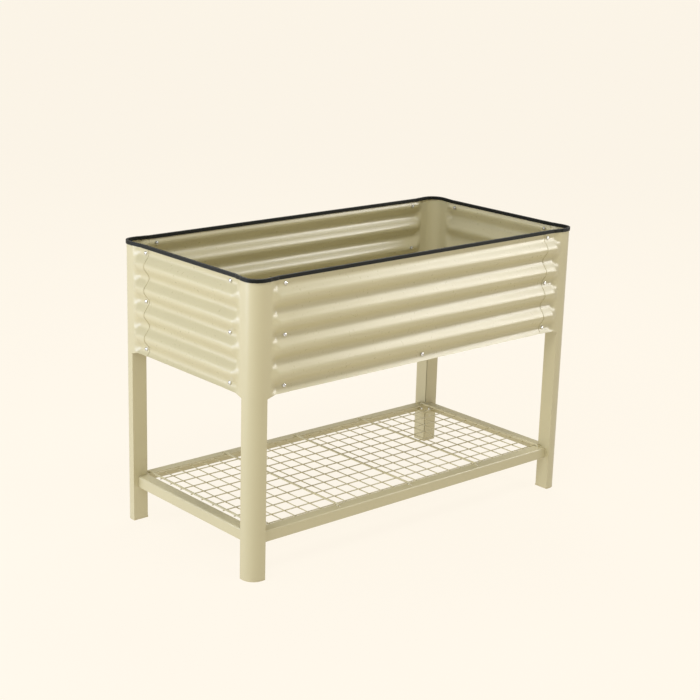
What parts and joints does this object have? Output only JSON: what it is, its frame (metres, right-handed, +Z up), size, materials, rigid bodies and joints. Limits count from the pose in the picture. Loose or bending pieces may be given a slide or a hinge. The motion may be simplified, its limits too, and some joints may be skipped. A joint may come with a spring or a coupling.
{
  "type": "raised planter on legs",
  "caption": "Raised garden planter: a corrugated cream steel trough on quarter-round legs, dark rubber rim, with a lift-out wire shelf near the floor.",
  "frame": {"origin": "centre of the footprint, on the floor", "axes": "+X along the long side, +Y from the front long side to the back one, +Z up"},
  "size_m": [1.218, 0.618, 0.8221],
  "materials": {
    "post_coat": "satin",
    "wall_coat": "satin",
    "rail_coat": "satin",
    "wire_coat": "satin",
    "bracket_coat": "satin",
    "base_coat": "satin",
    "beam_coat": "satin",
    "foot_plastic": "matte",
    "edging_rubber": "matte",
    "bright_screw": "polished",
    "zinc_nut": "satin"
  },
  "bodies": {
    "planter": {"post_front_left": "post_coat", "post_front_right": "post_coat", "post_back_left": "post_coat", "post_back_right": "post_coat", "foot_cap_front_left": "foot_plastic", "foot_cap_front_right": "foot_plastic", "foot_cap_back_left": "foot_plastic", "foot_cap_back_right": "foot_plastic", "panel_front": "wall_coat", "panel_back": "wall_coat", "panel_left": "wall_coat", "panel_right": "wall_coat", "rim_edging": "edging_rubber", "base_panel_left": "base_coat", "base_panel_right": "base_coat", "base_beam": "beam_coat", "panel_screws": "bright_screw", "panel_nuts": "zinc_nut", "rail_front": "rail_coat", "rail_back": "rail_coat", "rail_left": "rail_coat", "rail_right": "rail_coat", "rail_bracket_front_left": "bracket_coat", "rail_bracket_front_right": "bracket_coat", "rail_bracket_back_left": "bracket_coat", "rail_bracket_back_right": "bracket_coat", "bracket_screws": "bright_screw"},
    "wire_deck": {"shelf_rods": "wire_coat", "shelf_long_wires": "wire_coat", "shelf_cross_wires": "wire_coat"}
  },
  "joints": [
    {"name": "deck_lift", "type": "slide", "parent": "planter", "child": "wire_deck", "axis": [0, 0, 1], "range_m": [0, 0.12]}
  ]
}
